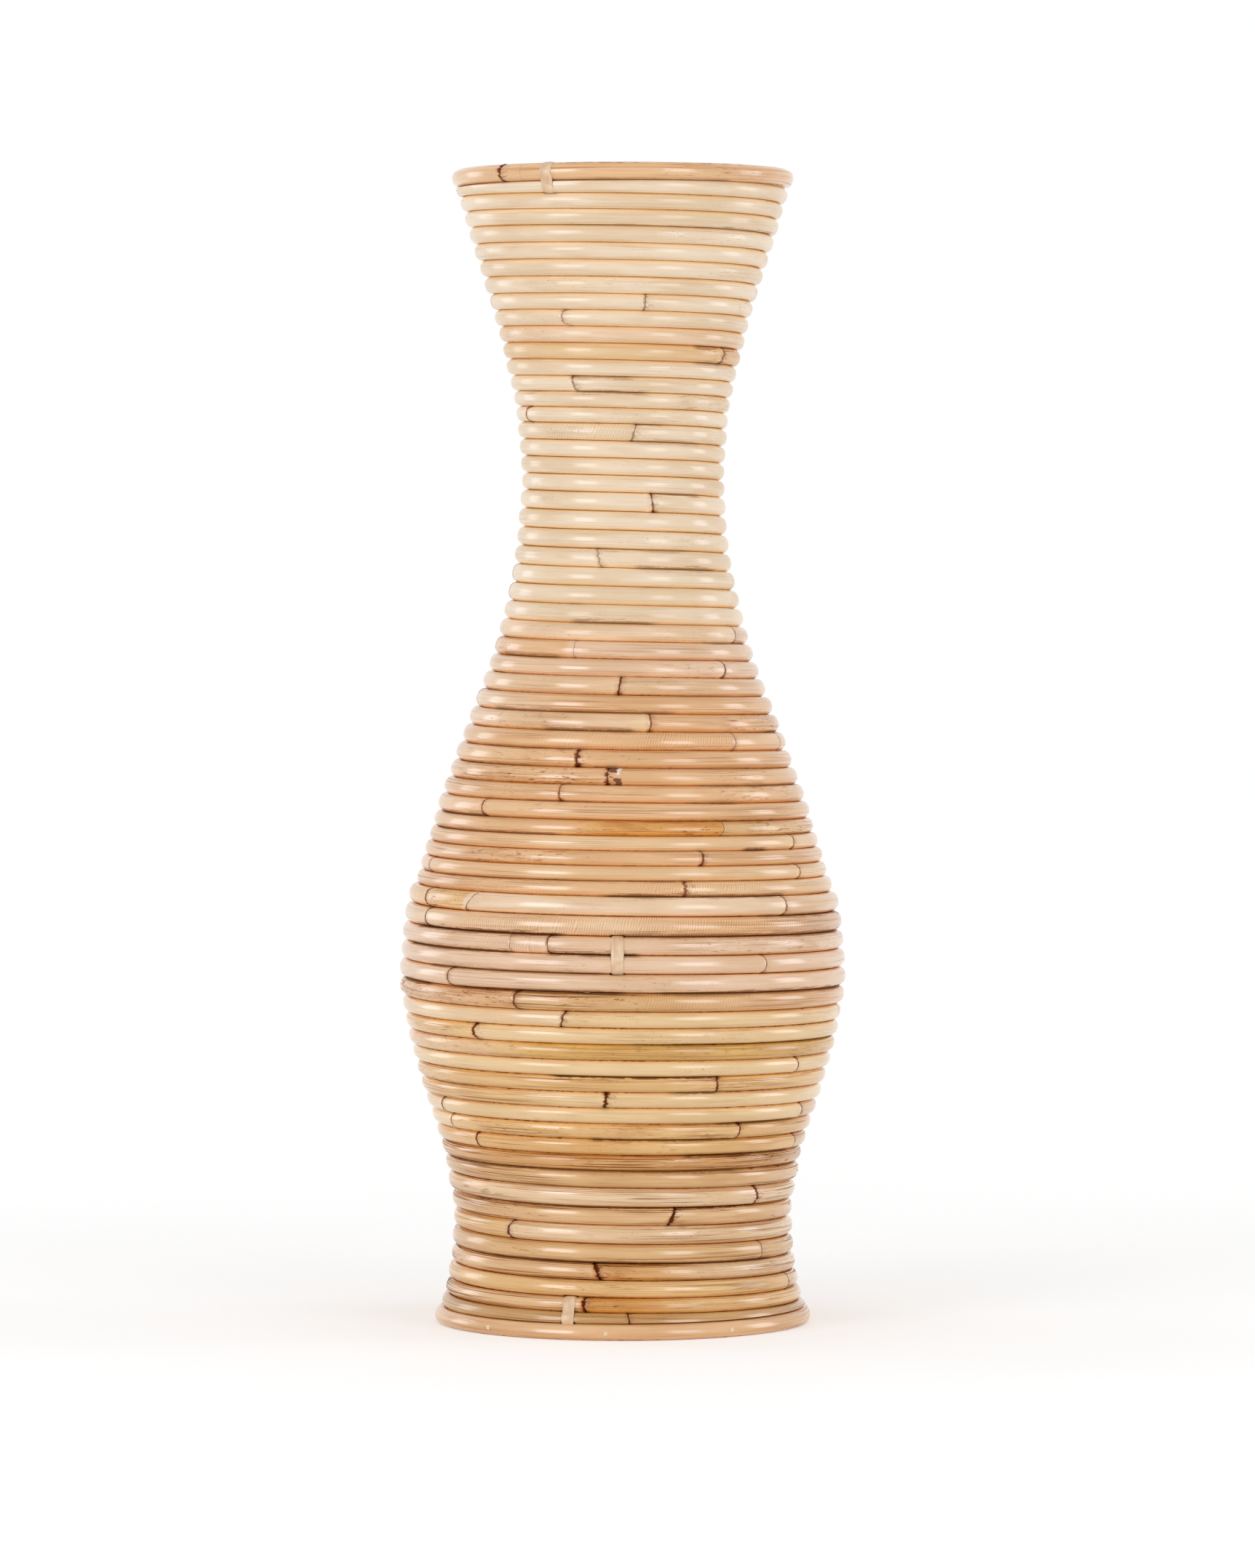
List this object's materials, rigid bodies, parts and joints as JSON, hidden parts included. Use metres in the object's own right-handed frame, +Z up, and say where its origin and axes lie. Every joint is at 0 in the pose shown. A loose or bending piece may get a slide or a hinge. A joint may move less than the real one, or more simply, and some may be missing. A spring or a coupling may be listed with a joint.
{
  "type": "rattan floor vase",
  "caption": "Tall waisted vase of round rattan cane wound in one rising spiral, with a level rim and base hoop, a flared mouth, a narrow neck and a full belly.",
  "frame": {"origin": "centre of the foot, on the surface that the vase stands on", "axes": "+Z up along the vase's axis; the front, with the three visible ties, looks along -Y, and +X is to the right of someone who looks at it"},
  "size_m": [0.2323, 0.2327, 0.6012],
  "materials": {
    "cane_olive": "lacquered rattan cane, greyed olive brown",
    "cane_golden": "lacquered rattan cane, golden",
    "cane_tan": "lacquered rattan cane, pinkish tan",
    "cane_pale": "lacquered rattan cane, pale cream",
    "peel": "split rattan peel, satin",
    "splint": "split rattan, unlacquered",
    "plywood": "plain sanded plywood",
    "brad_steel": "bright steel wire brad"
  },
  "bodies": {
    "root": {"base_hoop": "cane_golden", "base_panel": "plywood", "panel_brad_1": "brad_steel", "panel_brad_2": "brad_steel", "panel_brad_3": "brad_steel", "panel_brad_4": "brad_steel", "panel_brad_5": "brad_steel", "panel_brad_6": "brad_steel", "panel_brad_7": "brad_steel", "panel_brad_8": "brad_steel", "panel_brad_9": "brad_steel", "coil_cane_01": "cane_olive", "coil_cane_02": "cane_golden", "coil_cane_03": "cane_golden", "coil_cane_04": "cane_golden", "coil_cane_05": "cane_golden", "coil_cane_06": "cane_golden", "coil_cane_07": "cane_golden", "coil_cane_08": "cane_tan", "coil_cane_09": "cane_tan", "coil_cane_10": "cane_tan", "coil_cane_11": "cane_tan", "coil_cane_12": "cane_tan", "coil_cane_13": "cane_tan", "coil_cane_14": "cane_tan", "coil_cane_15": "cane_pale", "coil_cane_16": "cane_pale", "coil_cane_17": "cane_pale", "coil_cane_18": "cane_pale", "coil_cane_19": "cane_pale", "coil_cane_20": "cane_pale", "rim_hoop": "cane_tan", "base_tie": "peel", "belly_tie": "peel", "rim_tie": "peel", "inner_splint_1": "splint", "inner_splint_2": "splint", "inner_splint_3": "splint", "inner_splint_4": "splint", "inner_splint_5": "splint", "inner_splint_6": "splint"}
  },
  "joints": []
}
